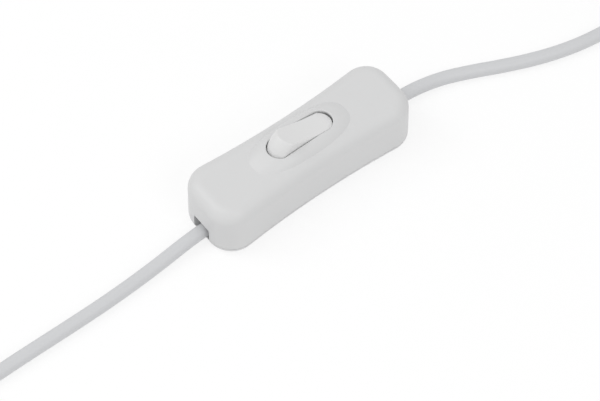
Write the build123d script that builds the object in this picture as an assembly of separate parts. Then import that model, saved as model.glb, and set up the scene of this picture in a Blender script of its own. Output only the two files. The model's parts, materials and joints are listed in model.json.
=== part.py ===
from build123d import *
import math
import os

# A rocker switch set in a thin two-core low-voltage cord, lying on a table.
# The origin is under the middle of the switch, +X points along it to the load end, +Z is up, sizes in mm.

# Switch body: a waisted oblong with drafted walls, in an upper housing and a shallow cover
body_length = 62.6
end_bow = 0.3
waist_width = 18.58
end_width = 22.08
corner_radius = 7.0
body_height = 16.27
draft_angle = 1.38
top_radius = 3.73
bottom_radius = 2.9
wall = 1.7
ceiling = 1.75
cover_height = 2.9
cover_floor = 1.2
seam_step = 0.2
lip_gap = 0.1
lip_thickness = 1.0
lip_height = 1.5

# Raised oval pad round the rocker: rounded between an ellipse and a box by pad_power
pad_length = 29.44
pad_width = 12.32
pad_power = 2.72
pad_rise = 2.45
pad_swell = 3.5
pad_sections = 7
pad_points = 28
rim_radius = 0.25

# Rocker, turned about a cross axis, with its +X end pressed in at rest
pivot_height = 14.1
rocker_tilt = 17.26
rocker_radius = 10.0
rocker_width = 6.34
rocker_end_depth = 1.9
rocker_corner = 0.8
ridge_height = 5.58
rocker_dip = 0.7
rocker_skirt = 1.6
rocker_edge = 0.35
rocker_wall = 1.2
end_gap = 0.44
side_gap = 0.16
corner_ease = 0.6
trunnion_radius = 1.2
trunnion_length = 1.3
pivot_gap = 0.05
cheek_wall = 0.55
cheek_width = 5.2
cheek_drop = 2.4

# Snap plunger and its spring, in the rocker's hollow stem
stem_radius = 2.1
stem_length = 6.3
bore_top = 1.0
plunger_radius = 1.3
plunger_gap = 0.1
plunger_top = -3.0
plunger_clearance = 0.22
spring_radius = 1.0
spring_wire = 0.15
spring_pitch = 0.8

# Contact lever, rocking on an edge of the supply terminal
fulcrum_height = 5.2
lever_gap = 0.1
lever_bend = 8.0
lever_thickness = 0.6
lever_end_room = 1.4
lever_width = 4.8
contact_inset = 1.5
contact_radius = 1.3
contact_height = 0.6
contact_gap = 0.08
rivet_radius = 0.6
rivet_head_radius = 0.95
rivet_head_height = 0.25
rivet_gap = 0.03
guide_gap = 0.3
guide_wall = 1.0
guide_height = 6.0
stop_gap = 0.05
stop_width = 1.0
stop_inset = 1.4
stop_depth = 0.5

# Brass terminals, their screws and the bared conductors
terminal_floor = 2.4
strip_thickness = 0.8
strip_width = 3.4
head_length = 4.4
head_near = 2.1
head_far = 2.5
joggle_height = 0.8
joggle_lead = 1.2
edge_base = 1.9
screw_radius = 1.25
screw_head_radius = 2.1
screw_head_height = 1.2
screw_gap = 0.05
screw_end = 0.7
slot_width = 0.5
slot_depth = 0.5
conductor_radius = 0.4
conductor_overrun = 2.0
core_radius = 0.7
core_spacing = 1.5
core_room = 3.8
core_show = 0.5
core_lead = 1.2
return_offset = 4.85
return_height = 1.95

# Cord clamps
clamp_inset = 11.1
clamp_length = 3.2
clamp_width = 11.2
clamp_bottom = 3.9
clamp_top = 7.0
clamp_gap = 0.05
clamp_screw_offset = 4.0
clamp_screw_radius = 0.9
clamp_head_radius = 1.55
clamp_head_height = 1.2
clamp_post_radius = 1.5
clamp_post_top = 3.7
clamp_screw_end = 2.0
jacket_margin = 0.4

# Screws that hold the cover to the housing
boss_inset = 6.4
boss_radius = 2.1
pillar_radius = 2.6
pillar_top = 4.2
pillar_margin = 0.6
housing_screw_radius = 1.0
housing_head_radius = 1.95
housing_head_height = 1.3
housing_screw_length = 8.0
sink_depth = 2.2
sink_gap = 0.1
cross_width = 0.55
cross_length = 2.2
cross_depth = 0.7

# Cord, its ports and where its two sides run
cord_diameter = 3.7
cord_height = 3.1
port_width = 6.23
port_top = 6.84
port_corner = 0.6
port_depth = 0.6
arc_share = 0.45

# Put-away length, wound twice round into a slim hank at each end, resting on its ties
tie_thickness = 0.5
tie_width = 4.0
entry_tie_place = 8.0
return_tie_place = 12.0
fold_radius = 11.1
fold_corners = 6
hank_run = 24.0
supply_hank_place = (-128.0, -1.65)
load_hank_place = (116.0, -1.0)
tail_rise = (0, 0, 0.12, 0.35, 0.62, 0.85, 1, 1)
rest_gap = 0.05

# Barrel plug on the supply side
relief_rear_radius = 2.5
relief_front_radius = 3.2
relief_length = 12.0
plug_grip_radius = 4.25
plug_grip_length = 18.0
grip_step = 1.5
barrel_radius = 2.75
barrel_wall = 0.5
barrel_length = 9.5
barrel_seat = 7.0
barrel_root_radius = 2.55
pin_hole_radius = 1.08
contact_wall = 0.3
insulator_recess = 0.6
fit_gap = 0.03

# Matching socket on the load side
jack_grip_radius = 5.0
jack_grip_length = 22.0
jack_pin_radius = 1.05
jack_wall = 0.5
jack_gap = 0.06
jack_depth = 10.0
jack_base = 2.0
jack_pin_short = 1.0

half_length = body_length / 2
cord_radius = cord_diameter / 2
corner_x = half_length - end_bow
opening_half = rocker_width / 2 + side_gap
opening_radius = rocker_radius + end_gap
cheek_reach = opening_half + trunnion_length + cheek_wall
lip_inset = wall + lip_gap
pocket_inset = lip_inset + lip_thickness
jacket_end = half_length - clamp_inset - clamp_length / 2 - jacket_margin
clamp_place = half_length - clamp_inset
terminal_reach = jacket_end - core_room
screw_place = terminal_reach - head_length / 2
core_end = terminal_reach + core_show
conductor_end = screw_place - conductor_overrun
joggle_place = terminal_reach - head_length - joggle_lead
lever_reach = joggle_place - lever_end_room
contact_place = lever_reach - contact_inset
stop_place = lever_reach - stop_inset
boss_x = half_length - boss_inset
boss_y = cord_radius + pillar_margin + pillar_radius
boss_places = ((-boss_x, boss_y), (boss_x, -boss_y))
plunger_tip = fulcrum_height + lever_gap + lever_thickness + plunger_clearance - pivot_height
strip_top = terminal_floor + strip_thickness
seat_top = terminal_floor + joggle_height
contact_strip_top = seat_top + strip_thickness
guide_inner = lever_width / 2 + guide_gap
conductor_height = strip_top + conductor_radius
conductor_offset = screw_radius + screw_gap + conductor_radius
terminal_screw_seat = conductor_height + conductor_radius + screw_gap / 2
hank_floor = tie_thickness + cord_radius
hank_top = hank_floor + cord_radius
layer_rise = cord_diameter * math.sqrt(3) / 2
middle_fold = fold_radius + cord_radius
outer_fold = fold_radius + cord_diameter
tail_lead = middle_fold * math.tan(math.pi / 2 / fold_corners)
plug_axis = hank_top + plug_grip_radius + rest_gap
jack_axis = hank_top + jack_grip_radius + rest_gap
flat_rings = ((fold_radius, hank_floor), (outer_fold, hank_floor))
stacked_rings = (*flat_rings, (middle_fold, hank_floor + layer_rise))

# The routes stay as chosen by hand, from the cord's picture
supply_route = [
    (-jacket_end, 0, cord_height),
    (-25.5, 0, 3.1),
    (-34.5, -0.05, 3.05),
    (-46, -0.75, 1.9),
    (-60, -1.5, 1.85),
    (-74, -1.55, 1.85),
    (-88, -1.4, 1.85),
    (-97, -1.6, 1.85),
    (-105, 2.1, 1.95),
    (-111.2, 9.4, 2.15),
    (-119.2, 13.15, 2.35),
    (supply_hank_place[0], supply_hank_place[1] + outer_fold, hank_floor),
]
load_route = [
    (jacket_end, 0, cord_height),
    (25.5, 0, 3.1),
    (34, 1.5, 3.3),
    (45.5, 0.55, 1.9),
    (54, -2.8, 1.85),
    (63, -7.2, 1.85),
    (73, -11.4, 1.85),
    (84, -14.4, 1.85),
    (95, -15.6, 1.95),
    (105.5, -15.8, 2.35),
    (load_hank_place[0], load_hank_place[1] - outer_fold, hank_floor),
]


def block(x_low, x_high, y_low, y_high, z_low, z_high):
    """Box between six limits."""
    middle = ((x_low + x_high) / 2, (y_low + y_high) / 2, (z_low + z_high) / 2)
    return Pos(*middle) * Box(x_high - x_low, y_high - y_low, z_high - z_low)


def post(x, y, radius, z_low, z_high):
    """Upright cylinder between two heights."""
    return Pos(x, y, (z_low + z_high) / 2) * Cylinder(radius, z_high - z_low)


def cross_rod(radius, y_reach):
    """Cylinder along Y, centred."""
    return Rot(90, 0, 0) * Cylinder(radius, 2 * y_reach)


def side_plate(points, y_low, y_high):
    """Outline of (x, z) points, made a plate between two y values."""
    face = make_face(Polyline(*[(x, 0, z) for x, z in points], close=True))
    return Pos(0, y_high, 0) * extrude(face, amount=y_high - y_low, dir=(0, -1, 0))


def outline(inset):
    """Plan of the body at its foot, drawn in by an inset."""
    side = end_width / 2
    corners = ((-corner_x, -side), (corner_x, -side), (corner_x, side), (-corner_x, side))
    middles = ((0, -waist_width / 2), (half_length, 0), (0, waist_width / 2), (-half_length, 0))
    arcs = [ThreePointArc(corners[i], middles[i], corners[(i + 1) % 4]) for i in range(4)]
    face = make_face(arcs)
    face = fillet(face.vertices(), corner_radius)
    return offset(face, amount=-inset) if inset else face


def drafted(inset, z_low, z_high):
    """Body walls drawn in by an inset, between two heights."""
    solid = extrude(outline(inset), amount=z_high, taper=draft_angle)
    return solid & block(-body_length, body_length, -end_width, end_width, z_low, z_high)


def outer_form():
    """Whole outside of the body without its pad."""
    form = extrude(outline(0), amount=body_height, taper=draft_angle)
    form = fillet(form.faces().sort_by(Axis.Z)[-1].edges(), top_radius)
    return fillet(form.faces().sort_by(Axis.Z)[0].edges(), bottom_radius)


def pad_ring(share):
    """One level line of the pad, as a share of its foot."""
    points = []
    for i in range(pad_points):
        turn = 2 * math.pi * i / pad_points
        along = math.cos(turn)
        across = math.sin(turn)
        norm = (abs(along) ** pad_power + abs(across) ** pad_power) ** (1 / pad_power)
        points.append((share * pad_length / 2 * along / norm, share * pad_width / 2 * across / norm))
    height = body_height + pad_rise * (1 - share ** pad_swell)
    return Pos(0, 0, height) * make_face(Spline(*points, periodic=True))


def pad():
    """Raised oval, from just under the body's top to inside the opening."""
    foot_share = 1.14
    top_share = (opening_half - side_gap) / (pad_width / 2)
    shares = [foot_share + (top_share - foot_share) * i / (pad_sections - 1) for i in range(pad_sections)]
    return loft([pad_ring(share) for share in shares])


def wheel(radius, half_width, end_depth):
    """Disc about the Y axis with a bulged rim: the space that a rounded rocker end sweeps."""
    flat = radius - end_depth
    edge = [
        Line((0, -half_width), (flat, -half_width)),
        ThreePointArc((flat, -half_width), (radius, 0), (flat, half_width)),
        Line((flat, half_width), (0, half_width)),
        Line((0, half_width), (0, -half_width)),
    ]
    section = make_face(edge)
    section = fillet(section.vertices().sort_by(Axis.X)[-2:], rocker_corner)
    return Rot(0, 90, 0) * revolve(section, axis=Axis.Y)


def port_cut(sign):
    """Cord port through one end wall."""
    inner = half_length - pocket_inset - port_depth
    cut = block(inner, half_length + 1, -port_width / 2, port_width / 2, cover_floor, port_top)
    top_edges = cut.edges().filter_by(Axis.X).sort_by(Axis.Z)[-2:]
    cut = fillet(top_edges, port_corner)
    return cut if sign > 0 else Rot(0, 0, 180) * cut


def upper_housing():
    """Deep shell with the pad, the rocker's opening and cheeks, and two screw bosses."""
    roof = body_height - ceiling
    cavity = extrude(outline(wall), amount=roof, taper=draft_angle)
    cavity = fillet(cavity.faces().sort_by(Axis.Z)[-1].edges(), top_radius - wall)
    above = block(-body_length, body_length, -end_width, end_width, cover_height, 2 * body_height)
    shell = (outer_form() + pad()) & above
    shell -= cavity
    cheek_foot = pivot_height - cheek_drop
    cheek_half = cheek_width / 2
    for y_low, y_high in ((opening_half, cheek_reach), (-cheek_reach, -opening_half)):
        shell += block(-cheek_half, cheek_half, y_low, y_high, cheek_foot, body_height)
    for x, y in boss_places:
        shell += post(x, y, boss_radius, pillar_top, body_height - ceiling / 2)
    shell -= Pos(0, 0, pivot_height) * wheel(opening_radius, opening_half, rocker_end_depth + corner_ease)
    rim_low = body_height + pad_rise / 4
    rim = shell.edges().filter_by(lambda edge: edge.bounding_box().min.Z > rim_low)
    shell = fillet(rim, rim_radius)
    shell -= Pos(0, 0, pivot_height) * cross_rod(trunnion_radius + pivot_gap, cheek_reach - cheek_wall)
    for x, y in boss_places:
        screw_tip = sink_depth + housing_screw_length
        shell -= post(x, y, housing_screw_radius + screw_gap, cover_height, screw_tip + screw_gap)
    return shell - port_cut(1) - port_cut(-1)


def base_cover():
    """Shallow cover with its locating lip, pillars, terminal bed, guides and clamp posts."""
    below = block(-body_length, body_length, -end_width, end_width, 0, cover_height)
    cover = outer_form() & below
    seam_low = cover_height - seam_step
    slab = block(-body_length, body_length, -end_width, end_width, seam_low, cover_height)
    cover -= slab - drafted(seam_step, seam_low, cover_height)
    lip_top = cover_height + lip_height
    cover += drafted(lip_inset, cover_height - lip_thickness, lip_top)
    cover -= drafted(pocket_inset, cover_floor, lip_top + 1)
    for x, y in boss_places:
        cover += post(x, y, pillar_radius, cover_floor / 2, pillar_top)
    bed_end = terminal_reach + strip_thickness
    cover += block(-bed_end, bed_end, -head_near, head_far, cover_floor / 2, terminal_floor)
    guide_end = lever_reach + guide_wall
    for y_low, y_high in ((guide_inner, guide_inner + guide_wall), (-guide_inner - guide_wall, -guide_inner)):
        cover += block(-guide_end, guide_end, y_low, y_high, cover_floor / 2, guide_height)
    seat_low = contact_place - contact_radius
    cover += block(seat_low, joggle_place, -strip_width / 2, strip_width / 2, cover_floor, seat_top)
    stop_low = -stop_place - stop_width / 2
    stop_top = fulcrum_height + lever_gap - stop_gap
    stop_outer = guide_inner + guide_wall / 2
    stop_inner = lever_width / 2 - stop_depth
    for y_low, y_high in ((stop_inner, stop_outer), (-stop_outer, -stop_inner)):
        cover += block(stop_low, stop_low + stop_width, y_low, y_high, cover_floor, stop_top)
    for side in (-1, 1):
        cover -= post(side * screw_place, 0, screw_radius + screw_gap, screw_end - screw_gap, strip_top)
        for offset_y in (-clamp_screw_offset, clamp_screw_offset):
            x = side * clamp_place
            cover += post(x, offset_y, clamp_post_radius, cover_floor / 2, clamp_post_top)
            hole_low = clamp_screw_end - screw_gap
            cover -= post(x, offset_y, clamp_screw_radius + screw_gap, hole_low, clamp_post_top)
    for x, y in boss_places:
        cover -= post(x, y, housing_screw_radius + screw_gap, 0, pillar_top)
        cover -= post(x, y, housing_head_radius + sink_gap, 0, sink_depth)
    return cover - port_cut(1) - port_cut(-1)


def on_rocker(shape):
    """Put a shape that was made level at the pivot where the tilted rocker carries it."""
    return Pos(0, 0, pivot_height) * Rot(0, rocker_tilt, 0) * shape


def rocker():
    """Two-position button with a hollowed top, pivot stubs and a hollow stem."""
    reach = math.sqrt(rocker_radius ** 2 - ridge_height ** 2)
    hollow_radius = (reach ** 2 + rocker_dip ** 2) / (2 * rocker_dip)
    floor = ridge_height - rocker_dip
    button = wheel(rocker_radius, rocker_width / 2, rocker_end_depth)
    button -= Pos(0, 0, floor + hollow_radius) * cross_rod(hollow_radius, rocker_width)
    top_edges = button.faces().sort_by(Axis.Z)[-1].edges()
    button = fillet(top_edges, rocker_edge)
    size = 2 * rocker_radius
    button -= block(-size, size, -size, size, -size, -rocker_skirt)
    pocket_half = rocker_width / 2 - rocker_wall
    pocket_in = stem_radius + rocker_wall
    pocket_out = rocker_radius - rocker_end_depth - rocker_wall / 2
    pocket_top = floor - 1.5 * rocker_wall
    for x_low, x_high in ((pocket_in, pocket_out), (-pocket_out, -pocket_in)):
        button -= block(x_low, x_high, -pocket_half, pocket_half, -size, pocket_top)
    button += cross_rod(trunnion_radius, opening_half + trunnion_length - pivot_gap)
    button += post(0, 0, stem_radius, -stem_length, 0)
    button -= post(0, 0, plunger_radius + plunger_gap, -size, bore_top)
    return on_rocker(button)


def plunger():
    """Round-nosed pin that slides in the stem."""
    nose = plunger_tip + plunger_radius
    return on_rocker(post(0, 0, plunger_radius, nose, plunger_top) + Pos(0, 0, nose) * Sphere(plunger_radius))


def plunger_spring():
    """Coil spring between the plunger and the end of the bore."""
    height = bore_top - plunger_top - 2 * spring_wire
    path = Helix(pitch=spring_pitch, height=height, radius=spring_radius)
    wire = sweep(Plane(path @ 0, z_dir=path % 0) * Circle(spring_wire), path=path, is_frenet=True)
    return on_rocker(Pos(0, 0, plunger_top + spring_wire) * wire)


def on_lever(shape):
    """Put a shape that was made level at the fulcrum on the lever, its -X arm lying flat."""
    return Pos(0, 0, fulcrum_height) * Rot(0, -lever_bend, 0) * shape


def lever_arm_place(shape):
    """Put a shape that was made about the contact's centre on the arm's underside."""
    return Rot(0, -lever_bend, 0) * Pos(contact_place, 0, lever_gap) * shape


def contact_lever():
    """Strip bent to a shallow V that rocks on the fulcrum edge."""
    rise = math.radians(lever_bend)
    end_rise = lever_reach * math.tan(rise)
    lift = lever_thickness / math.cos(rise)
    profile = [
        (0, lever_gap),
        (lever_reach, lever_gap + end_rise),
        (lever_reach, lever_gap + end_rise + lift),
        (0, lever_gap + lift),
        (-lever_reach, lever_gap + end_rise + lift),
        (-lever_reach, lever_gap + end_rise),
    ]
    strip = side_plate(profile, -lever_width / 2, lever_width / 2)
    hole = post(0, 0, rivet_radius + rivet_gap, -lever_thickness, 2 * lever_thickness)
    return on_lever(strip - lever_arm_place(hole))


def moving_contact():
    """Riveted contact button under the +X arm."""
    button = post(0, 0, contact_radius, -contact_height, 0)
    button += post(0, 0, rivet_radius, 0, lever_thickness)
    button += post(0, 0, rivet_head_radius, lever_thickness, lever_thickness + rivet_head_height)
    return on_lever(lever_arm_place(button))


def terminal_head(side):
    """Wide end of a terminal strip, with its screw hole."""
    ends = sorted((side * (terminal_reach - head_length), side * terminal_reach))
    return block(*ends, -head_near, head_far, terminal_floor, strip_top)


def screw_hole(side):
    """Clearance for a terminal screw."""
    return post(side * screw_place, 0, screw_radius + screw_gap, 0, terminal_screw_seat)


def supply_terminal():
    """Brass strip bent up to the edge that the lever rocks on."""
    profile = [
        (-terminal_reach, terminal_floor),
        (-edge_base, terminal_floor),
        (edge_base / 4, fulcrum_height - strip_thickness),
        (0, fulcrum_height),
        (-edge_base - strip_thickness / 2, strip_top),
        (-terminal_reach, strip_top),
    ]
    strip = side_plate(profile, -strip_width / 2, strip_width / 2)
    return strip + terminal_head(-1) - screw_hole(-1)


def load_terminal():
    """Brass strip stepped up under the fixed contact."""
    shift = strip_thickness * math.tan(math.radians(22.5))
    foot = joggle_place + joggle_height
    inner = contact_place - contact_radius
    profile = [
        (terminal_reach, terminal_floor),
        (foot, terminal_floor),
        (joggle_place, seat_top),
        (inner, seat_top),
        (inner, contact_strip_top),
        (joggle_place - shift, contact_strip_top),
        (foot - shift, strip_top),
        (terminal_reach, strip_top),
    ]
    strip = side_plate(profile, -strip_width / 2, strip_width / 2)
    rivet_hole = post(contact_place, 0, rivet_radius + rivet_gap, seat_top, contact_strip_top)
    return strip + terminal_head(1) - screw_hole(1) - rivet_hole


def fixed_contact():
    """Contact button riveted to the load terminal."""
    top = fulcrum_height + lever_gap - contact_height - contact_gap
    button = post(contact_place, 0, contact_radius, contact_strip_top, top)
    return button + post(contact_place, 0, rivet_radius, seat_top, contact_strip_top)


def slotted_screw(x, y, seat, tip, shank, head_radius, head_height):
    """Upright screw with a slot, its head above the seat."""
    top = seat + head_height
    screw = post(x, y, shank, tip, seat) + post(x, y, head_radius, seat, top)
    half_slot = slot_width / 2
    cut = block(-head_radius, head_radius, -half_slot, half_slot, top - slot_depth, top + slot_depth)
    return screw - Pos(x, y, 0) * Rot(0, 0, 30) * cut


def terminal_screws():
    """One clamping screw at each end."""
    sizes = (terminal_screw_seat, screw_end, screw_radius, screw_head_radius, screw_head_height)
    return [slotted_screw(side * screw_place, 0, *sizes) for side in (-1, 1)]


def tube(points, radius, name):
    """Round tube of straight runs and tangent arcs, each arc as large as its runs allow."""
    places = [Vector(*point) for point in points]
    radii = []
    for before, here, after in zip(places, places[1:], places[2:]):
        turn = math.radians((here - before).get_angle(after - here))
        shorter = min((here - before).length, (after - here).length)
        radii.append(arc_share * shorter / math.tan(turn / 2))
    path = FilletPolyline(*points, radius=radii)
    body = sweep(Plane(path @ 0, z_dir=path % 0) * Circle(radius), path=path)
    expected = math.pi * radius ** 2 * path.length
    print(name, "arc radii", [round(value, 1) for value in radii])
    print(name, "length", round(path.length, 1), "volume share", round(body.volume / expected, 4))
    return body


def cut_core(side, name):
    """Insulated core from the jacket's end to its terminal."""
    half = core_spacing / 2
    points = [
        (side * jacket_end, half, cord_height),
        (side * (jacket_end - core_lead), half, cord_height),
        (side * (core_end + core_lead), conductor_offset, conductor_height),
        (side * core_end, conductor_offset, conductor_height),
    ]
    return tube(points, core_radius, name)


def conductor(side):
    """Bared end of a cut core, beside the screw and under its head."""
    length = core_end - conductor_end
    rod = Rot(0, 90, 0) * Cylinder(conductor_radius, length)
    return Pos(side * (core_end + conductor_end) / 2, conductor_offset, conductor_height) * rod


def return_core():
    """Core that runs past the switch uncut."""
    half = core_spacing / 2
    bend = jacket_end - core_lead
    beside = terminal_reach - 2 * core_radius
    between = (bend + beside) / 2
    shoulder = return_offset - core_radius
    side_points = [
        (jacket_end, -half, cord_height),
        (bend, -half, cord_height),
        (between, -shoulder, (cord_height + return_height) / 2),
        (beside, -return_offset, return_height),
    ]
    points = [(-x, y, z) for x, y, z in side_points] + side_points[::-1]
    return tube(points, core_radius, "return_core")


def clamp_bar(side):
    """Bar with a saddle that holds the jacket down."""
    half = clamp_length / 2
    bar = block(-half, half, -clamp_width / 2, clamp_width / 2, clamp_bottom, clamp_top)
    bar = fillet(bar.edges().filter_by(Axis.X).sort_by(Axis.Z)[-2:], clamp_post_radius / 2)
    bar -= Pos(0, 0, cord_height) * Rot(0, 90, 0) * Cylinder(cord_radius + clamp_gap, 2 * clamp_length)
    for y in (-clamp_screw_offset, clamp_screw_offset):
        bar -= post(0, y, clamp_screw_radius + screw_gap, 0, clamp_top)
    return Pos(side * clamp_place, 0, 0) * bar


def clamp_screws():
    """Two screws through each clamp bar."""
    sizes = (clamp_top, clamp_screw_end, clamp_screw_radius, clamp_head_radius, clamp_head_height)
    places = [(side * clamp_place, y) for side in (-1, 1) for y in (-clamp_screw_offset, clamp_screw_offset)]
    return [slotted_screw(x, y, *sizes) for x, y in places]


def housing_screws():
    """Cross-slotted screws, driven in from below."""
    low = sink_depth - housing_head_height
    screw = post(0, 0, housing_head_radius, low, sink_depth)
    screw += post(0, 0, housing_screw_radius, sink_depth, sink_depth + housing_screw_length)
    long_half = cross_length / 2
    short_half = cross_width / 2
    for x_half, y_half in ((long_half, short_half), (short_half, long_half)):
        screw -= block(-x_half, x_half, -y_half, y_half, low - 1, low + cross_depth)
    return [Pos(x, y, 0) * screw for x, y in boss_places]


def bundle_section(rings, swell):
    """Outer shape of bundled turns, cut across, swollen by a tie."""
    circles = [Pos(x, z) * Circle(cord_radius + swell).edge() for x, z in rings]
    return Plane.XZ * make_hull(circles)


def bundle_run(rings, swell, turn, x_low, x_high):
    """Straight stretch of bundled turns, on the hank's -Y side for a turn of -90."""
    face = Pos(x_low, 0, 0) * Rot(0, 0, turn) * bundle_section(rings, swell)
    return extrude(face, amount=x_high - x_low, dir=(1, 0, 0))


def on_hank(side, shape):
    """Put a shape made on a hank that runs out to +X at the supply (-1) or load (1) end."""
    place = supply_hank_place if side < 0 else load_hank_place
    return Pos(*place, 0) * Rot(0, 0, 90 - 90 * side) * shape


def hank(side):
    """Outer shape of the wound turns: entry run, far fold, return run with a third turn on it, near fold."""
    far_fold = revolve(bundle_section(flat_rings, 0), axis=Axis.Z, revolution_arc=180)
    near_turn = Plane.XZ * Pos(fold_radius, hank_floor) * Circle(cord_radius)
    shape = bundle_run(flat_rings, 0, -90, 0, hank_run)
    shape += Pos(hank_run, 0, 0) * Rot(0, 0, -90) * far_fold
    shape += bundle_run(stacked_rings, 0, 90, tail_lead, hank_run)
    shape += extrude(Rot(0, 0, 90) * near_turn, amount=tail_lead, dir=(1, 0, 0))
    shape += Rot(0, 0, 90) * revolve(near_turn, axis=Axis.Z, revolution_arc=180)
    return on_hank(side, shape)


def ties(side):
    """A flat band round each run of a hank."""
    half = tie_width / 2
    bands = []
    for rings, turn, place in ((flat_rings, -90, entry_tie_place), (stacked_rings, 90, return_tie_place)):
        outer = bundle_run(rings, tie_thickness, turn, place - half, place + half)
        bands.append(on_hank(side, outer - bundle_run(rings, 0, turn, place - half, place + half)))
    return bands


def tail_route(side, end_height):
    """Cord from the top of a hank, round over its near fold, to the piece on its end, as points."""
    place = supply_hank_place if side < 0 else load_hank_place
    low = hank_floor + layer_rise
    corner = middle_fold / math.cos(math.pi / 2 / fold_corners)
    plan = [(tail_lead, middle_fold)]
    for i in range(fold_corners):
        angle = math.pi * (i + 0.5) / fold_corners
        plan.append((-corner * math.sin(angle), corner * math.cos(angle)))
    plan.append((tail_lead, -middle_fold))
    points = []
    for (x, y), share in zip(plan, tail_rise):
        points.append((place[0] + side * x, place[1] + side * y, low + share * (end_height - low)))
    return points


def laid_on_end(shape, route, side):
    """Put a shape made along +X from the origin at the end of a tail."""
    return Pos(*route[-1]) * Rot(0, 0, 90 - 90 * side) * shape


def turned(profile):
    """Solid turned about the X axis from (x, radius) points."""
    return revolve(make_face(Polyline(*profile, close=True)), axis=Axis.X)


def sleeve(x_low, x_high, inner, outer):
    """Tube along X."""
    return turned([(x_low, inner), (x_high, inner), (x_high, outer), (x_low, outer)])


def moulded_grip(grip_radius, grip_length, bore_radius, bore_length):
    """Strain relief and grip moulded in one, bored from the front."""
    front = relief_length + grip_length
    bore_floor = front - bore_length
    profile = [
        (0, 0),
        (0, relief_rear_radius),
        (relief_length, relief_front_radius),
        (relief_length + grip_step, grip_radius),
        (front - grip_step / 2, grip_radius),
        (front, grip_radius - grip_step / 2),
        (front, bore_radius),
        (bore_floor, bore_radius),
        (bore_floor, 0),
    ]
    return turned(profile)


def plug_pieces(route):
    """Barrel plug, as four pieces."""
    front = relief_length + plug_grip_length
    seat = front - barrel_seat
    end = front + barrel_length
    contact_outer = pin_hole_radius + contact_wall
    recess = end - insulator_recess
    barrel_inner = barrel_radius - barrel_wall
    barrel = [
        (seat, barrel_inner),
        (end, barrel_inner),
        (end, barrel_radius),
        (front, barrel_radius),
        (front, barrel_root_radius),
        (seat, barrel_root_radius),
    ]
    bore = barrel_root_radius + fit_gap
    pieces = {
        "plug_grip": moulded_grip(plug_grip_radius, plug_grip_length, bore, barrel_seat),
        "plug_sleeve": turned(barrel),
        "plug_insulator": sleeve(seat, recess, contact_outer + fit_gap, barrel_inner - fit_gap),
        "plug_contact": sleeve(seat, recess - insulator_recess, pin_hole_radius, contact_outer),
    }
    return {name: laid_on_end(shape, route, -1) for name, shape in pieces.items()}


def jack_pieces(route):
    """Socket that takes the barrel plug, as four pieces."""
    front = relief_length + jack_grip_length
    inner = barrel_radius + jack_gap
    outer = inner + jack_wall
    floor = front - jack_depth
    pin_floor = floor - jack_base
    insulator = sleeve(pin_floor, floor, jack_pin_radius + fit_gap, outer)
    pin = Pos((pin_floor + front - jack_pin_short) / 2, 0, 0) * Rot(0, 90, 0)
    pin *= Cylinder(jack_pin_radius, front - jack_pin_short - pin_floor)
    bore_length = jack_depth + jack_base
    pieces = {
        "jack_grip": moulded_grip(jack_grip_radius, jack_grip_length, outer + fit_gap, bore_length),
        "jack_sleeve": sleeve(floor, front, inner, outer),
        "jack_insulator": insulator,
        "jack_pin": pin,
    }
    return {name: laid_on_end(shape, route, 1) for name, shape in pieces.items()}


supply_tail = tail_route(-1, plug_axis)
load_tail = tail_route(1, jack_axis)

nodes = {
    "upper_housing": upper_housing(),
    "base_cover": base_cover(),
    "rocker": rocker(),
    "plunger": plunger(),
    "plunger_spring": plunger_spring(),
    "contact_lever": contact_lever(),
    "moving_contact": moving_contact(),
    "supply_terminal": supply_terminal(),
    "load_terminal": load_terminal(),
    "fixed_contact": fixed_contact(),
    "terminal_screws": Compound(children=terminal_screws()),
    "supply_core": cut_core(-1, "supply_core"),
    "load_core": cut_core(1, "load_core"),
    "return_core": return_core(),
    "supply_conductor": conductor(-1),
    "load_conductor": conductor(1),
    "supply_clamp": clamp_bar(-1),
    "load_clamp": clamp_bar(1),
    "clamp_screws": Compound(children=clamp_screws()),
    "housing_screws": Compound(children=housing_screws()),
    "supply_cord": tube(supply_route, cord_radius, "supply_cord"),
    "load_cord": tube(load_route, cord_radius, "load_cord"),
    "supply_hank": hank(-1),
    "load_hank": hank(1),
    "supply_tie": Compound(children=ties(-1)),
    "load_tie": Compound(children=ties(1)),
    "supply_tail": tube(supply_tail, cord_radius, "supply_tail"),
    "load_tail": tube(load_tail, cord_radius, "load_tail"),
}
nodes.update(plug_pieces(supply_tail))
nodes.update(jack_pieces(load_tail))

os.makedirs("parts", exist_ok=True)
for name, shape in nodes.items():
    export_step(shape, f"parts/{name}.step")
print(len(nodes), "pieces written")
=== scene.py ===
# %% [markdown]
# # A switched power cord
# A small white rocker switch sits in a thin two-core cord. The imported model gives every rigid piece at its
# real size. This lesson adds the camera, the two sides of the cord, the moulded ends that are not in the
# picture, a finish for every surface, and soft light on a pale floor.

# %% Load the frame
import json
import math

import bpy
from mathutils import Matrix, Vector


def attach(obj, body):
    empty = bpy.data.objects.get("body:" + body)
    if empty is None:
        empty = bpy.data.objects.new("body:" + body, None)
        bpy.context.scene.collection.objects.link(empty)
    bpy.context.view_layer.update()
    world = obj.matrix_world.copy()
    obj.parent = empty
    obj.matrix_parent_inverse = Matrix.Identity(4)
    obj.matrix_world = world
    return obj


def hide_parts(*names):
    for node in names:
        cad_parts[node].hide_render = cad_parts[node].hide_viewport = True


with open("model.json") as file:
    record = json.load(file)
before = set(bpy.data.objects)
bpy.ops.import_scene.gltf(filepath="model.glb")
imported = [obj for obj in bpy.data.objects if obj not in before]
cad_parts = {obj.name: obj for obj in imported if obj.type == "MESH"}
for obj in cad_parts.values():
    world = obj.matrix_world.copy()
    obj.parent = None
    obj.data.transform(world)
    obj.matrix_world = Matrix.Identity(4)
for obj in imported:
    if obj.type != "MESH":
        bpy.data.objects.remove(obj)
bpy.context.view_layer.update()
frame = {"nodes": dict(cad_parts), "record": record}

mm = 0.001
nodes = frame["nodes"]

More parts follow.
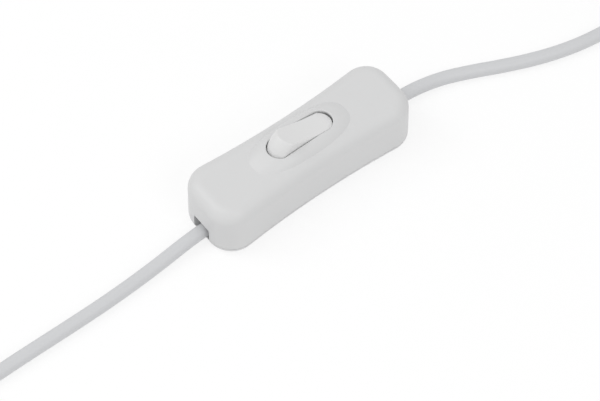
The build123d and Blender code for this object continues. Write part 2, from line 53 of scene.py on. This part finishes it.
# %% [markdown]
# ## Camera
# The picture looks down on the switch from its near left, with a long lens from about half a metre. A long
# lens keeps the two long edges of the body almost parallel, so the lens length matters as much as the place.

# %% Camera
camera_place = Vector((-190.6, -243.3, 462.9)) * mm
camera_aim = Vector((-8.1, -10.5, 8.0)) * mm
camera_lens = 130.04
camera_sensor = 36.0

bpy.ops.object.select_all(action="DESELECT")
camera_turn = (camera_aim - camera_place).to_track_quat("-Z", "Y").to_euler()
bpy.ops.object.camera_add(location=camera_place, rotation=camera_turn)
camera = bpy.context.object
camera.data.lens = camera_lens
camera.data.sensor_width = camera_sensor
bpy.context.scene.camera = camera
bpy.context.scene.view_settings.view_transform = "Standard"
print("camera is", round((camera_aim - camera_place).length / mm), "mm from the switch")

# %% [markdown]
# ## The two sides of the cord
# The cord is a flexible jacketed pair, so each side is one smooth curve with a round section. The points are
# the route that the cord takes over the table, in millimetres. The length that the picture does not show is
# wound into a slim tied hank, and the next cell works out the turns of that hank.

# %% Cord sizes and routes
cord_diameter = 3.7 * mm
cord_radius = cord_diameter / 2
tie_thickness = 0.5 * mm
hank_floor = tie_thickness + cord_radius
middle_fold = 12.95 * mm
hank_run = 24.0 * mm
hank_top = hank_floor + cord_radius
rest_gap = 0.05 * mm
plug_grip_radius = 4.25 * mm
jack_grip_radius = 5.0 * mm
supply_place = Vector((-128.0, -1.65, 0)) * mm
load_place = Vector((116.0, -1.0, 0)) * mm

supply_route = [
    (-18.2, 0, 3.1), (-25.5, 0, 3.1), (-34.5, -0.05, 3.05), (-46, -0.75, 1.9), (-60, -1.5, 1.85),
    (-74, -1.55, 1.85), (-88, -1.4, 1.85), (-97, -1.6, 1.85), (-105, 2.1, 1.95), (-111.2, 9.4, 2.15),
    (-119.2, 13.15, 2.35),
]
load_route = [
    (18.2, 0, 3.1), (25.5, 0, 3.1), (34, 1.5, 3.3), (45.5, 0.55, 1.9), (54, -2.8, 1.85),
    (63, -7.2, 1.85), (73, -11.4, 1.85), (84, -14.4, 1.85), (95, -15.6, 1.95), (105.5, -15.8, 2.35),
]
print("routes have", len(supply_route), "and", len(load_route), "points")

# %% [markdown]
# ## Winding a hank
# A hank is a flattened coil: an entry run, a fold at the far end, a return run and a fold at the near end.
# The place of the cord across the bundle is counted in cord radii from the middle of the bundle, and a list
# of stops says after how many turns the cord has moved to which place. Cord that lies in the groove between
# two lower turns, or passes over one, gets its height from the distance to the nearest of them.

# %% Hank turns
quarters = 4
points_per_quarter = 8
# A spline of order 3 cuts the corners of its control points, so the points of a fold lie further out.
spline_pull = (3 + math.cos(math.pi / points_per_quarter)) / 4
# In cord radii: between two cords that touch, and up to a cord in the groove of two others.
touching = 2
groove_height = math.sqrt(3)
climb_turn = 1.5
wound_turns = 1.72
ring_stops = [(0, 1), (0.62, 1), (0.74, -1), (climb_turn, -1), (1.61, 0), (wound_turns, 0)]
fold_corners = 6
tail_rise = (0, 0.12, 0.35, 0.62, 0.85, 1)
tail_lead = middle_fold * math.tan(math.pi / 2 / fold_corners)


def ring_at(turn):
    """Place of the cord across the bundle, in cord radii, after a number of turns."""
    for (turn_a, place_a), (turn_b, place_b) in zip(ring_stops, ring_stops[1:]):
        if turn <= turn_b:
            return place_a + (place_b - place_a) * max(0, turn - turn_a) / (turn_b - turn_a)
    return ring_stops[-1][1]


def height_at(turn):
    """Height over the bottom layer, in cord radii: cord that has climbed lies on the turn below it."""
    if turn < climb_turn:
        return 0
    return math.sqrt(max(0, touching ** 2 - (ring_at(turn) - ring_at(turn - 1)) ** 2))


def hank_point(turn):
    """A control point of a hank that runs out to +X from the origin, after a number of turns."""
    radius = middle_fold + ring_at(turn) * cord_radius
    height = hank_floor + height_at(turn) * cord_radius
    quarter, share = divmod(turn % 1 * quarters, 1)
    if quarter == 0:
        return Vector((share * hank_run, -radius, height))
    if quarter == 2:
        return Vector(((1 - share) * hank_run, radius, height))
    if share > 0:
        radius /= spline_pull
    angle = (share - 0.5) * math.pi
    if quarter == 1:
        return Vector((hank_run + radius * math.cos(angle), radius * math.sin(angle), height))
    return Vector((-radius * math.cos(angle), -radius * math.sin(angle), height))


def tail_point(corner, end_height):
    """A corner of the last run, over the near fold and down to the piece on the cord's end."""
    low = hank_floor + groove_height * cord_radius
    radius = middle_fold / math.cos(math.pi / 2 / fold_corners)
    angle = math.pi * (corner + 0.5) / fold_corners
    height = low + tail_rise[corner] * (end_height - low)
    return Vector((-radius * math.sin(angle), radius * math.cos(angle), height))


def hank_points(place, side, end_height):
    """Every control point of one hank and its tail. The supply side is turned half round."""
    count = int(wound_turns * quarters * points_per_quarter)
    points = [hank_point(i / quarters / points_per_quarter) for i in range(count + 1)]
    points += [tail_point(corner, end_height) for corner in range(fold_corners)]
    points.append(Vector((tail_lead, -middle_fold, end_height)))
    return [(place.x + side * p.x, place.y + side * p.y, p.z) for p in points]


plug_axis = hank_top + plug_grip_radius + rest_gap
jack_axis = hank_top + jack_grip_radius + rest_gap
supply_hank = hank_points(supply_place, -1, plug_axis)
load_hank = hank_points(load_place, 1, jack_axis)
print("hank points", len(supply_hank), len(load_hank))

# %% [markdown]
# ## Drawing the cords
# A spline of order 3 passes near its points and rounds every corner between them. Each point carries the
# cord's radius and the bevel is 1, because the box that Blender gives for a curve reaches out by the radius
# of its points.

# %% Cord curves
spline_order = 3
steps_per_point = 6
section_steps = 8
unit_bevel = 1.0


def cord_curve(name, route, hank):
    """One round cord along its route and its hank."""
    points = [tuple(value * mm for value in point) for point in route] + hank
    bpy.ops.object.select_all(action="DESELECT")
    bpy.ops.curve.primitive_nurbs_path_add(location=(0, 0, 0))
    cord = bpy.context.object
    cord.name = name
    cord.data.splines.clear()
    spline = cord.data.splines.new("NURBS")
    spline.points.add(len(points) - 1)
    for control, point in zip(spline.points, points):
        control.co = (*point, 1)
        control.radius = cord_radius
    spline.order_u = spline_order
    spline.use_endpoint_u = True
    spline.resolution_u = steps_per_point
    cord.data.dimensions = "3D"
    cord.data.bevel_depth = unit_bevel
    cord.data.bevel_resolution = section_steps
    cord.data.use_fill_caps = True
    print(name, "is", round(spline.calc_length() / mm), "mm long")
    return cord


supply_flex = cord_curve("supply_flex", supply_route, supply_hank)
load_flex = cord_curve("load_flex", load_route, load_hank)

# %% [markdown]
# ## Moulded ends
# Each side of the cord ends in a moulded grip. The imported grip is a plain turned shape, so a detailed one
# takes its place. Its profile is a list of steps, each with a place along the axis and a radius. The strain
# relief gets rings with grooves between them, so that it bends evenly, and the grip gets shallow finger
# grooves. The last steps go back into the bore that holds the contacts.

# %% Grip profile
relief_length = 12.0 * mm
relief_rear = 2.5 * mm
relief_front = 3.2 * mm
relief_rings = 6
relief_groove = 0.45 * mm
groove_share = 0.4
grip_step = 1.5 * mm
finger_grooves = 5
finger_pitch = 2.2 * mm
finger_width = 0.9 * mm
finger_depth = 0.3 * mm
grip_start = relief_length + grip_step
plug_length = 30 * mm
plug_bore = 2.58 * mm
plug_bore_length = 7 * mm
jack_length = 34 * mm
jack_bore = 3.34 * mm
jack_bore_length = 12 * mm


def grip_profile(radius, front, bore, bore_length):
    """Steps of (place, radius) along a grip, from the cord to the floor of its bore."""
    steps = []
    pitch = relief_length / relief_rings
    slope = (relief_front - relief_rear) / relief_length
    for i in range(relief_rings):
        low = i * pitch
        edge = low + pitch * (1 - groove_share)
        high = low + pitch
        steps += [(low, relief_rear + slope * low), (edge, relief_rear + slope * edge)]
        steps += [(edge, relief_rear + slope * edge - relief_groove)]
        steps += [(high, relief_rear + slope * high - relief_groove)]
    steps += [(relief_length, relief_front), (grip_start, radius)]
    first = (grip_start + front - grip_step / 2 - finger_pitch * (finger_grooves - 1)) / 2
    for i in range(finger_grooves):
        middle = first + i * finger_pitch
        steps += [(middle - finger_width / 2, radius), (middle - finger_width / 4, radius - finger_depth)]
        steps += [(middle + finger_width / 4, radius - finger_depth), (middle + finger_width / 2, radius)]
    steps += [(front - grip_step / 2, radius), (front, radius - grip_step / 2)]
    return steps + [(front, bore), (front - bore_length, bore)]


plug_profile = grip_profile(plug_grip_radius, plug_length, plug_bore, plug_bore_length)
jack_profile = grip_profile(jack_grip_radius, jack_length, jack_bore, jack_bore_length)
print("grip profiles have", len(plug_profile), "and", len(jack_profile), "steps")

# %% [markdown]
# ## Drawing out the grips
# A grip starts as one filled ring. Each step of its profile draws that ring out a little and scales it, which
# is how a turned shape grows from a face. A bevel then rounds the sharp edges.

# %% Draw out the grips
ring_points = 48
soft_edge = 0.1 * mm
soft_edge_steps = 2
sharp_angle = math.radians(35)
smooth_angle = math.radians(40)


def soften(piece, width, segments):
    """Rounds the sharp edges of a piece and shades the rest smooth."""
    bevel = piece.modifiers.new("soft_edges", "BEVEL")
    bevel.width = width
    bevel.segments = segments
    bevel.limit_method = "ANGLE"
    bevel.angle_limit = sharp_angle
    bpy.ops.object.modifier_apply(modifier=bevel.name)
    bpy.ops.object.shade_smooth_by_angle(angle=smooth_angle)


def drawn_out(name, start, side, profile):
    """A turned piece that runs along X from a start point, made from one ring."""
    bpy.ops.object.select_all(action="DESELECT")
    bpy.ops.mesh.primitive_circle_add(
        vertices=ring_points, radius=profile[0][1], fill_type="NGON", location=start,
        rotation=(0, side * math.pi / 2, 0))
    piece = bpy.context.object
    piece.name = name
    bpy.ops.object.transform_apply(location=True, rotation=True, scale=True)
    bpy.ops.object.mode_set(mode="EDIT")
    bpy.ops.mesh.select_all(action="SELECT")
    for (last_place, last_radius), (place, radius) in zip(profile, profile[1:]):
        centre = (start[0] + side * place, start[1], start[2])
        scale = radius / last_radius
        move = {"value": (side * (place - last_place), 0, 0)}
        bpy.ops.mesh.extrude_region_move(TRANSFORM_OT_translate=move)
        bpy.ops.transform.resize(value=(1, scale, scale), center_override=centre)
    bpy.ops.mesh.select_all(action="SELECT")
    bpy.ops.mesh.normals_make_consistent(inside=False)
    bpy.ops.object.mode_set(mode="OBJECT")
    soften(piece, soft_edge, soft_edge_steps)
    print(name, "has", len(piece.data.polygons), "faces")
    return piece


plug_end = drawn_out("plug_end", supply_hank[-1], -1, plug_profile)
jack_end = drawn_out("jack_end", load_hank[-1], 1, jack_profile)
for piece, node in ((plug_end, "plug_grip"), (jack_end, "jack_grip")):
    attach(piece, "switch_body")
    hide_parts(node)

# %% [markdown]
# ## Heads of the ties
# A plastic band holds each run of a hank. Every band gets a small locking head on the inner side of the
# hank: a box with a sunken window for the strap, and the cut end of the strap standing out of its top.

# %% Tie heads
head_size = Vector((4.6, 2.8, 3.7)) * mm
head_window = 0.55 * mm
head_sink = 0.6 * mm
strap_end = 0.7 * mm
head_edge = 0.25 * mm
head_edge_steps = 3
normal_digits = 3
band_inner = 9.1 * mm
tie_places = ((8.0 * mm, -1), (12.0 * mm, 1))


def pick_face(piece, direction):
    """Selects the one face of a piece that looks in a direction and lies furthest out that way."""
    bpy.ops.object.mode_set(mode="EDIT")
    bpy.ops.mesh.select_mode(type="FACE")
    bpy.ops.mesh.select_all(action="DESELECT")
    bpy.ops.object.mode_set(mode="OBJECT")

    def rank(face):
        """How squarely a face looks in the direction, then how far out it lies."""
        return round(face.normal.dot(direction), normal_digits), face.center.dot(direction)

    max(piece.data.polygons, key=rank).select = True
    bpy.ops.object.mode_set(mode="EDIT")


def tie_head(name, place, side, along, run):
    """Locking head of one band, on the inner side of an entry run (-1) or a return run (1)."""
    middle = run * (band_inner - head_size.y / 2)
    centre = (place.x + side * along, place.y + side * middle, hank_floor)
    bpy.ops.object.select_all(action="DESELECT")
    bpy.ops.mesh.primitive_cube_add(size=1, location=centre)
    piece = bpy.context.object
    piece.name = name
    piece.scale = head_size
    bpy.ops.object.transform_apply(location=True, rotation=True, scale=True)
    inward = Vector((0, -side * run, 0))
    pick_face(piece, inward)
    bpy.ops.mesh.inset(thickness=head_window)
    bpy.ops.mesh.extrude_region_move(TRANSFORM_OT_translate={"value": -inward * head_sink})
    bpy.ops.object.mode_set(mode="OBJECT")
    pick_face(piece, Vector((0, 0, 1)))
    bpy.ops.mesh.inset(thickness=head_window)
    bpy.ops.mesh.extrude_region_move(TRANSFORM_OT_translate={"value": (0, 0, strap_end)})
    bpy.ops.object.mode_set(mode="OBJECT")
    soften(piece, head_edge, head_edge_steps)
    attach(piece, "switch_body")
    return piece


def hank_heads(name, place, side):
    """The locking heads of one hank, one on each of its bands."""
    return [tie_head(f"{name}_{i}", place, side, *spot) for i, spot in enumerate(tie_places)]


supply_heads = hank_heads("supply_tie_head", supply_place, -1)
load_heads = hank_heads("load_tie_head", load_place, 1)
print("tie heads", len(supply_heads) + len(load_heads))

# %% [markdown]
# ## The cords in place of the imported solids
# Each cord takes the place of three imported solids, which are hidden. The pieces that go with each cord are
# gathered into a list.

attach(supply_flex, "switch_body")
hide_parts("supply_cord", "supply_hank", "supply_tail")
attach(load_flex, "switch_body")
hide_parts("load_cord", "load_hank", "load_tail")
plug_pieces = [plug_end, *supply_heads]
plug_pieces += [nodes[name] for name in ("plug_sleeve", "plug_insulator", "plug_contact", "supply_tie")]
jack_pieces = [jack_end, *load_heads]
jack_pieces += [nodes[name] for name in ("jack_sleeve", "jack_insulator", "jack_pin", "load_tie")]

# %% [markdown]
# ## Shader arithmetic
# Finishes are node trees. Wiring every Math node by hand hides the idea, so a small class wraps a socket and
# turns plain arithmetic on it into Math nodes. Any other node comes from one method that takes the node's
# type, its settings and its sockets.

# %% Socket arithmetic
class Value:
    """A socket of a node tree. Arithmetic on it adds Math nodes to the tree."""

    def __init__(self, tree, socket=None):
        self.tree = tree
        self.socket = socket

    def node(self, kind, settings, sockets, output=0):
        """Adds a node: its settings first, then the values or links of its sockets."""
        node = self.tree.nodes.new(kind)
        for name, setting in settings.items():
            setattr(node, name, setting)
        for name, value in sockets.items():
            if isinstance(value, Value):
                self.tree.links.new(value.socket, node.inputs[name])
            else:
                node.inputs[name].default_value = value
        return Value(self.tree, node.outputs[output])

    def math(self, operation, first, second):
        """One Math node."""
        return self.node("ShaderNodeMath", {"operation": operation}, {0: first, 1: second})

    def __add__(self, other):
        return self.math("ADD", self, other)

    __radd__ = __add__

    def __sub__(self, other):
        return self.math("SUBTRACT", self, other)

    def __mul__(self, other):
        return self.math("MULTIPLY", self, other)


print("Value adds nodes for + - and *")

# %% [markdown]
# ## Patterns that the finishes share
# Noise on Object coordinates keeps its size in millimetres on every piece. A pattern can be stretched along
# the cord or across a metal strip by scaling the coordinates first. A mix of two close tints keeps a
# moulded surface from looking painted.

# %% Pattern helpers
pattern_middle = 0.5
mix_share, mix_first, mix_second, mix_result = 0, 6, 7, 2


def new_finish(name):
    """A material with its Principled node, and a Value to start its tree from."""
    material = bpy.data.materials.new(name)
    material.use_nodes = True
    shader = material.node_tree.nodes["Principled BSDF"]
    return material, shader, Value(material.node_tree)


def noise(tree, size, stretch=(1, 1, 1), detail=2.0):
    """Noise from 0 to 1 with features of about that size in metres, stretched along the axes."""
    place = tree.node("ShaderNodeTexCoord", {}, {}, output="Object")
    scale = tuple(1 / value for value in stretch)
    placed = tree.node("ShaderNodeMapping", {}, {"Vector": place, "Scale": scale})
    return tree.node("ShaderNodeTexNoise", {}, {"Vector": placed, "Scale": 1 / size, "Detail": detail})


def blend_tints(tree, share, first, second):
    """Colour between two tints."""
    sockets = {mix_share: share, mix_first: (*first, 1), mix_second: (*second, 1)}
    return tree.node("ShaderNodeMix", {"data_type": "RGBA"}, sockets, output=mix_result)


def darker(tint, share):
    """A tint with a share of its light."""
    return tuple(value * share for value in tint)


def vary(middle, pattern, swing):
    """A value that a pattern of 0 to 1 moves up and down round its middle."""
    return middle + (pattern - pattern_middle) * swing


def relief(tree, height, depth):
    """Normal from a height of 0 to 1 and its real depth in metres."""
    return tree.node("ShaderNodeBump", {}, {"Height": height, "Distance": depth})


def feed(shader, tree, **sockets):
    """Links or sets the sockets of a Principled node, named with underscores."""
    for name, value in sockets.items():
        socket = shader.inputs[name.replace("_", " ")]
        if isinstance(value, Value):
            tree.tree.links.new(value.socket, socket)
        else:
            socket.default_value = value


print("patterns are ready")

# %% [markdown]
# ## Plastics
# The shell is moulded in a tool with a fine matt grain, the rocker in a smoother one. The vinyl of the cord
# is softer and slightly bluer, with faint drawing lines along its length. The numbers are linear colours.

# %% Plastic finishes
fine_detail = 4.0
line_detail = 3.0
cloud_size = 12 * mm
cloud_tint = 0.975
grain_swing = 0.12
line_size = 0.35 * mm
line_stretch = (40, 1, 1)
line_part = 0.4
swell_size = 6 * mm
swell_part = 0.6
jacket_tint = 0.97
jacket_swing = 0.1
jacket_depth = 0.02 * mm
band_grain = 0.5 * mm
band_tint = 0.97
band_swing = 0.1
tooth_depth = 0.05 * mm
# A Wave texture of scale 1 turns by this many radians over one metre.
wave_radians = 20


def moulded_plastic(name, tint, roughness, grain, depth):
    """Moulded plastic: a faint cloud in its colour, and a fine grain in its surface."""
    material, shader, tree = new_finish(name)
    clouds = noise(tree, cloud_size)
    fine = noise(tree, grain, detail=fine_detail)
    feed(
        shader, tree, Base_Color=blend_tints(tree, clouds, darker(tint, cloud_tint), tint),
        Roughness=vary(roughness, fine, grain_swing), Normal=relief(tree, fine, depth))
    return material


def drawn_vinyl(name, tint, roughness):
    """Cord jacket: faint lines along the cord from the die, and slow unevenness across it."""
    material, shader, tree = new_finish(name)
    lines = noise(tree, line_size, stretch=line_stretch, detail=line_detail)
    swell = noise(tree, swell_size)
    height = lines * line_part + swell * swell_part
    feed(
        shader, tree, Base_Color=blend_tints(tree, lines, darker(tint, jacket_tint), tint),
        Roughness=vary(roughness, swell, jacket_swing), Normal=relief(tree, height, jacket_depth))
    return material


def ribbed_band(name, tint, roughness, pitch):
    """Tie: fine teeth across the band, seen as ripples along its height."""
    material, shader, tree = new_finish(name)
    place = tree.node("ShaderNodeTexCoord", {}, {}, output="Object")
    waves = tree.node(
        "ShaderNodeTexWave", {"bands_direction": "Z"},
        {"Vector": place, "Scale": 1 / pitch / wave_radians * math.tau, "Distortion": 0.0})
    grain = noise(tree, band_grain)
    feed(
        shader, tree, Base_Color=blend_tints(tree, grain, darker(tint, band_tint), tint),
        Roughness=vary(roughness, grain, band_swing), Normal=relief(tree, waves, tooth_depth))
    return material


finishes = {
    "housing_white": moulded_plastic(
        "housing_matt_white", (0.795, 0.797, 0.799), 0.45, grain=0.3 * mm, depth=0.012 * mm),
    "rocker_white": moulded_plastic(
        "rocker_satin_white", (0.875, 0.875, 0.875), 0.38, grain=0.2 * mm, depth=0.004 * mm),
    "cord_white": drawn_vinyl("cord_vinyl_white", (0.735, 0.743, 0.757), 0.45),
    "moulded_white": moulded_plastic(
        "moulded_vinyl_white", (0.76, 0.765, 0.78), 0.5, grain=0.25 * mm, depth=0.01 * mm),
    "tie_white": ribbed_band("tie_nylon_white", (0.78, 0.78, 0.77), 0.4, pitch=0.8 * mm),
    "insulator_black": moulded_plastic(
        "insulator_black", (0.02, 0.02, 0.022), 0.45, grain=0.2 * mm, depth=0.006 * mm),
    "core_red": moulded_plastic(
        "core_vinyl_red", (0.5, 0.025, 0.02), 0.42, grain=0.4 * mm, depth=0.008 * mm),
}
print("plastics", len(finishes))

# %% [markdown]
# ## Metals
# Strips, screws and the bare conductor show lines along their length, and the turned barrels show rings
# round their axis. One noise, stretched along or across the piece, gives both. Scratches change the roughness
# and the relief, and patches of tarnish change the colour and the roughness.

# %% Metal finishes
scratch_size = 0.12 * mm
scratch_swing = 0.2
scratch_depth = 0.006 * mm
patch_size = 2.5 * mm
patch_detail = 3.0
patch_swing = 0.1


def scratched_metal(name, tint, roughness, stretch, dull=0.9):
    """Metal with fine scratches along one axis and a patchy tarnish."""
    material, shader, tree = new_finish(name)
    lines = noise(tree, scratch_size, stretch=stretch, detail=fine_detail)
    patches = noise(tree, patch_size, detail=patch_detail)
    feed(
        shader, tree, Metallic=1.0, Base_Color=blend_tints(tree, patches, darker(tint, dull), tint),
        Roughness=vary(vary(roughness, lines, scratch_swing), patches, patch_swing),
        Normal=relief(tree, lines, scratch_depth))
    return material


finishes["brass"] = scratched_metal("stamped_brass", (0.6, 0.39, 0.13), 0.34, (25, 1, 1), dull=0.8)
finishes["contact_silver"] = scratched_metal("contact_silver", (0.72, 0.71, 0.68), 0.3, (1, 1, 1))
finishes["screw_steel"] = scratched_metal("zinc_steel", (0.5, 0.51, 0.53), 0.33, (1, 1, 12))
finishes["nickel"] = scratched_metal("nickel_plate", (0.62, 0.6, 0.56), 0.2, (1, 12, 12))
finishes["copper"] = scratched_metal("bare_copper", (0.62, 0.3, 0.16), 0.36, (30, 1, 1), dull=0.75)
print("finishes", len(finishes))

# %% [markdown]
# ## Hand the finishes out
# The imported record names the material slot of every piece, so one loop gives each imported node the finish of
# its slot. The pieces made in this lesson are listed beside their slots.

# %% Hand out finishes
for entry in frame["record"]["subparts"]:
    nodes[entry["node"]].material_slots[0].material = finishes[entry["material_slot"]]

made_here = {
    "cord_white": [supply_flex, load_flex],
    "moulded_white": [plug_end, jack_end],
    "tie_white": supply_heads + load_heads,
}
for slot, pieces in made_here.items():
    for piece in pieces:
        piece.data.materials.append(finishes[slot])
print("finished", len(nodes), "packed nodes and", sum(map(len, made_here.values())), "new pieces")

# %% [markdown]
# ## Light
# The picture is a packshot on pure white, with light so soft that the darkest wall is only a little darker
# than the top. A pale world gives most of the light. Three weak round lamps give it sides: one behind on the
# left puts a sheen on the near edge, one in front lifts the long wall, and one overhead shapes the pad.

# %% World and lamps
world_light = 0.6
seen_white = 1.0
world = bpy.data.worlds.new("soft_studio")
bpy.context.scene.world = world
world.use_nodes = True
sky = Value(world.node_tree)


def seen_ray(tree):
    """1 for rays that a viewer can see along: camera rays, reflections and refractions."""
    kinds = ("Is Camera Ray", "Is Glossy Ray", "Is Transmission Ray")
    rays = [tree.node("ShaderNodeLightPath", {}, {}, output=kind) for kind in kinds]
    camera_ray, glossy_ray, clear_ray = rays
    return tree.math("MAXIMUM", camera_ray, tree.math("MAXIMUM", glossy_ray, clear_ray))


strength = world_light + seen_ray(sky) * (seen_white - world_light)
backdrop = world.node_tree.nodes["Background"]
backdrop.inputs["Color"].default_value = (1, 1, 1, 1)
world.node_tree.links.new(strength.socket, backdrop.inputs["Strength"])

lamp_reach = 1.15
lamp_size = 0.5
lamps = {
    "back_left_lamp": (Vector((-0.5, 0.5, 0.7)), 1.55),
    "front_lamp": (Vector((0, -0.7, 0.7)), 1.65),
    "top_left_lamp": (Vector((-0.35, 0.2, 0.9)), 1.2),
}
for name, (direction, power) in lamps.items():
    lamp_place = direction.normalized() * lamp_reach
    lamp_turn = (-lamp_place).to_track_quat("-Z", "Y").to_euler()
    bpy.ops.object.select_all(action="DESELECT")
    bpy.ops.object.light_add(type="AREA", location=lamp_place, rotation=lamp_turn)
    lamp = bpy.context.object
    lamp.name = name
    lamp.data.shape = "DISK"
    lamp.data.size = lamp_size
    lamp.data.energy = power
print("lamps", len(lamps), "at", lamp_reach, "m")

# %% [markdown]
# ## Floor
# The floor shows as white to the camera, but keeps a share of its own shading, so the shadow stays.

# %% Floor
floor_size = 12.0
floor_tint = 0.9
white_share = 0.7
white_level = 1.1
bpy.ops.object.select_all(action="DESELECT")
bpy.ops.mesh.primitive_plane_add(size=floor_size)
floor = bpy.context.object
floor.name = "floor"

floor_finish, floor_shader, floor_tree = new_finish("pale_floor")
feed(floor_shader, floor_tree, Base_Color=(floor_tint, floor_tint, floor_tint, 1), Roughness=1.0)
feed(floor_shader, floor_tree, Specular_IOR_Level=0.0)
paper = Value(floor_finish.node_tree, floor_shader.outputs[0])
glow = paper.node("ShaderNodeEmission", {}, {"Strength": white_level})
share = seen_ray(paper) * white_share
mixed = paper.node("ShaderNodeMixShader", {}, {0: share, 1: paper, 2: glow})
surface = floor_finish.node_tree.nodes["Material Output"].inputs["Surface"]
floor_finish.node_tree.links.new(mixed.socket, surface)
floor.data.materials.append(floor_finish)
print("floor is", floor_size, "m wide")
